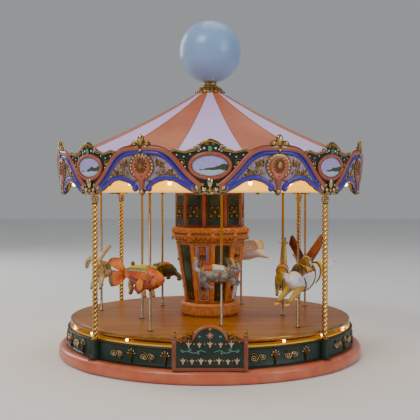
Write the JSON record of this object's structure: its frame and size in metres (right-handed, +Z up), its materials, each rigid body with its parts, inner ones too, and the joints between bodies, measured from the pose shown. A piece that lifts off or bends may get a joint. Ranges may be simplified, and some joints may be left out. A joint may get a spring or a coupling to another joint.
{
  "type": "carousel music box",
  "caption": "Wind-up carousel music box: round lit base, turning deck with creatures on rising poles, twisted posts, painted crown and striped canopy with a ball.",
  "frame": {"origin": "centre of the base's underside, on the table", "axes": "+Z up along the spindle; -Y towards the front, where the sign stands; +X to the viewer's right"},
  "size_m": [0.231, 0.231, 0.2526],
  "materials": {
    "coral_paint": "satin paint over moulded resin",
    "green_paint": "satin dark green paint",
    "gold_plate": "polished gold plating",
    "warm_lamp": "warm glowing bulbs",
    "black_plastic": "moulded",
    "crown_paint": "hand painted relief",
    "canopy_paint": "satin paint in alternating wedges",
    "pearl_ball": "pearl paint",
    "brass": "machined",
    "steel": "bright drawn rod",
    "deck_wood": "lacquered plank pattern",
    "cream_paint": "satin paint",
    "tower_paint": "painted panels with mirrors",
    "sign_paint": "painted flourishes",
    "creature_paint": "hand painted resin"
  },
  "bodies": {
    "base": {"plinth": "coral_paint", "drum_band": "green_paint", "light_channel": "gold_plate", "base_lamp_ring": "warm_lamp", "bottom_plate": "black_plastic", "post_front_left": "gold_plate", "post_front_right": "gold_plate", "post_back_left": "gold_plate", "post_back_right": "gold_plate", "sign_board": "sign_paint", "sign_frame": "coral_paint", "crown_boards": "crown_paint", "crown_hoop": "gold_plate", "crown_lamp_ring": "warm_lamp", "canopy": "canopy_paint", "top_bearing": "brass", "finial_collar": "gold_plate", "finial_ball": "pearl_ball", "lift_tracks": "black_plastic", "movement_bedplate": "brass", "comb": "steel", "governor_bracket": "brass", "battery_box": "black_plastic", "battery_pack": "steel"},
    "carousel": {"deck": "deck_wood", "spindle": "steel", "tower_base": "tower_paint", "tower_panels": "tower_paint", "tower_cornice": "tower_paint", "tower_upper": "tower_paint", "ceiling_drum": "cream_paint", "spring_barrel": "brass", "mainspring": "steel"},
    "winding": {"winding_key": "brass", "winding_arbor": "steel"},
    "cylinder": {"music_cylinder": "brass", "cylinder_arbor": "steel"},
    "governor": {"governor_fly": "brass"},
    "switch": {"light_switch": "black_plastic"},
    "door": {"battery_door": "black_plastic"},
    "goldfish_rider": {"goldfish": "creature_paint", "goldfish_pole": "steel"},
    "white_goose_rider": {"white_goose": "creature_paint", "white_goose_pole": "steel"},
    "red_eagle_rider": {"red_eagle": "creature_paint", "red_eagle_pole": "steel"},
    "parrot_rider": {"parrot": "creature_paint", "parrot_pole": "steel"},
    "rabbit_rider": {"rabbit": "creature_paint", "rabbit_pole": "steel"},
    "grey_cat_rider": {"grey_cat": "creature_paint", "grey_cat_pole": "steel"},
    "giraffe_rider": {"giraffe": "creature_paint", "giraffe_pole": "steel"},
    "swan_rider": {"swan": "creature_paint", "swan_pole": "steel"},
    "tortoise_rider": {"tortoise": "creature_paint", "tortoise_pole": "steel"},
    "lion_rider": {"lion": "creature_paint", "lion_pole": "steel"}
  },
  "joints": [
    {"name": "carousel_spin", "type": "hinge", "parent": "base", "child": "carousel", "pos_m": [0, 0, 0.0255], "axis": [0, 0, 1], "continuous": true},
    {"name": "cylinder_turn", "type": "hinge", "parent": "base", "child": "cylinder", "pos_m": [0, -0.0367, 0.0149], "axis": [0, 1, 0], "continuous": true},
    {"name": "governor_spin", "type": "hinge", "parent": "base", "child": "governor", "pos_m": [0.01, -0.04, 0.0149], "axis": [0, 1, 0], "continuous": true},
    {"name": "key_wind", "type": "hinge", "parent": "base", "child": "winding", "pos_m": [0, 0, 0.006], "axis": [0, 0, 1], "range_deg": [0, 1440]},
    {"name": "battery_door_hinge", "type": "hinge", "parent": "base", "child": "door", "pos_m": [0, 0.0456, 0.0008], "axis": [1, 0, 0], "range_deg": [0, 95]},
    {"name": "light_switch_slide", "type": "slide", "parent": "base", "child": "switch", "axis": [1, 0, 0], "range_m": [0, 0.0035]},
    {"name": "goldfish_lift", "type": "slide", "parent": "carousel", "child": "goldfish_rider", "axis": [0, 0, 1], "range_m": [-0.004, 0.004]},
    {"name": "white_goose_lift", "type": "slide", "parent": "carousel", "child": "white_goose_rider", "axis": [0, 0, 1], "range_m": [-0.004, 0.004]},
    {"name": "red_eagle_lift", "type": "slide", "parent": "carousel", "child": "red_eagle_rider", "axis": [0, 0, 1], "range_m": [-0.004, 0.004]},
    {"name": "parrot_lift", "type": "slide", "parent": "carousel", "child": "parrot_rider", "axis": [0, 0, 1], "range_m": [-0.004, 0.004]},
    {"name": "rabbit_lift", "type": "slide", "parent": "carousel", "child": "rabbit_rider", "axis": [0, 0, 1], "range_m": [-0.004, 0.004]},
    {"name": "grey_cat_lift", "type": "slide", "parent": "carousel", "child": "grey_cat_rider", "axis": [0, 0, 1], "range_m": [-0.004, 0.004]},
    {"name": "giraffe_lift", "type": "slide", "parent": "carousel", "child": "giraffe_rider", "axis": [0, 0, 1], "range_m": [-0.004, 0.004]},
    {"name": "swan_lift", "type": "slide", "parent": "carousel", "child": "swan_rider", "axis": [0, 0, 1], "range_m": [-0.004, 0.004]},
    {"name": "tortoise_lift", "type": "slide", "parent": "carousel", "child": "tortoise_rider", "axis": [0, 0, 1], "range_m": [-0.004, 0.004]},
    {"name": "lion_lift", "type": "slide", "parent": "carousel", "child": "lion_rider", "axis": [0, 0, 1], "range_m": [-0.004, 0.004]}
  ],
  "couplings": [
    {"joint": "cylinder_turn", "follows": "carousel_spin", "ratio": 4},
    {"joint": "governor_spin", "follows": "carousel_spin", "ratio": -16},
    {"joint": "white_goose_lift", "follows": "goldfish_lift", "ratio": 1},
    {"joint": "red_eagle_lift", "follows": "goldfish_lift", "ratio": 1},
    {"joint": "parrot_lift", "follows": "goldfish_lift", "ratio": 1},
    {"joint": "rabbit_lift", "follows": "goldfish_lift", "ratio": 1},
    {"joint": "grey_cat_lift", "follows": "goldfish_lift", "ratio": -1},
    {"joint": "giraffe_lift", "follows": "goldfish_lift", "ratio": -1},
    {"joint": "swan_lift", "follows": "goldfish_lift", "ratio": -1},
    {"joint": "tortoise_lift", "follows": "goldfish_lift", "ratio": -1},
    {"joint": "lion_lift", "follows": "goldfish_lift", "ratio": -1}
  ]
}
